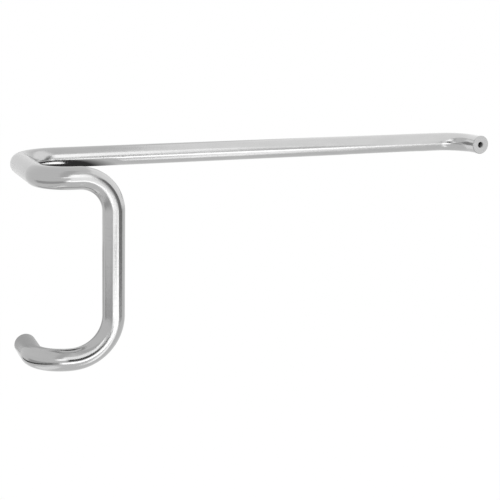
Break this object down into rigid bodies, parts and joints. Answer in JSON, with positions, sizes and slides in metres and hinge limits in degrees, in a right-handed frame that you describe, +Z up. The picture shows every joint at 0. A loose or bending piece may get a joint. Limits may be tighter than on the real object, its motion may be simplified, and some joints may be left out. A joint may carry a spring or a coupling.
{
  "type": "offset pull handle",
  "caption": "One bent round steel bar: a long horizontal push bar whose end crosses the door edge into an offset vertical pull, with a tapped hole in both end faces.",
  "frame": {"origin": "centre of the push end's face, which lies on the door's back face", "axes": "+X along the push bar, away from the crossing; +Y from the door towards the push bar; +Z up"},
  "size_m": [0.6742, 0.1999, 0.2303],
  "materials": {
    "steel": "satin, with fine belt lines round the bar"
  },
  "bodies": {
    "root": {"handle_bar": "steel"}
  },
  "joints": []
}
